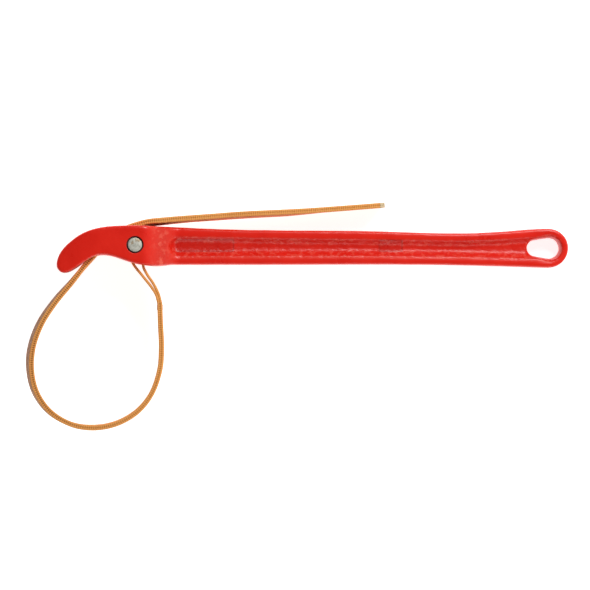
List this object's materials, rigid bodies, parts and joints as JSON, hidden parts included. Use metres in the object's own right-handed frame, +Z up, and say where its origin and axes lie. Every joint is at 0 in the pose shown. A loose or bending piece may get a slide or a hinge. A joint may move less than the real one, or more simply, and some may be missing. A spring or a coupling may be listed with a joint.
{
  "type": "strap wrench",
  "caption": "Strap wrench with a cast-iron handle, a pinned forked head and a doubled woven strap looped through the head.",
  "frame": {"origin": "centre of the bounding box at the table surface, with the tool lying on the end of its pin, beside one cheek of its head, and on the end of its handle", "axes": "+X from the hook of the head to the hang hole, +Y towards the side where the strap's tail leaves the head, +Z up from the table"},
  "size_m": [0.315, 0.132, 0.0405],
  "materials": {
    "red_paint": "glossy red paint on rough cast iron",
    "pin_steel": "zinc-plated, dull",
    "webbing": "tight woven nylon webbing, two layers",
    "stitching": "nylon thread",
    "sealed_webbing": "heat-sealed nylon"
  },
  "bodies": {
    "handle": {"handle_casting": "red_paint", "strap_pin": "pin_steel", "strap_throat": "webbing", "strap_tail_neck": "webbing"},
    "strap_eye": {"strap_eye": "webbing", "eye_stitching": "stitching", "strap_leg_pin_side": "webbing", "strap_leg_slot_side": "webbing"},
    "strap_loop": {"strap_loop": "webbing"},
    "strap_tail": {"strap_tail": "webbing", "strap_tip": "sealed_webbing"}
  },
  "joints": [
    {"name": "loop_swing", "type": "hinge", "parent": "handle", "child": "strap_eye", "pos_m": [-0.0958, 0.04145, 0.0195], "axis": [0.0454, 0, 0.999], "range_deg": [-6, 6], "deforming": ["strap_leg_slot_side"]},
    {"name": "loop_tighten", "type": "slide", "parent": "strap_eye", "child": "strap_loop", "axis": [0, 1, 0], "range_m": [-0.02, 0.02], "deforming": ["strap_leg_pin_side"]},
    {"name": "tail_pull", "type": "slide", "parent": "handle", "child": "strap_tail", "axis": [0.9969, 0.0635, -0.0454], "range_m": [-0.04, 0.04], "deforming": ["strap_tail_neck"]}
  ],
  "couplings": [
    {"joint": "loop_tighten", "follows": "tail_pull", "ratio": 0.5}
  ]
}
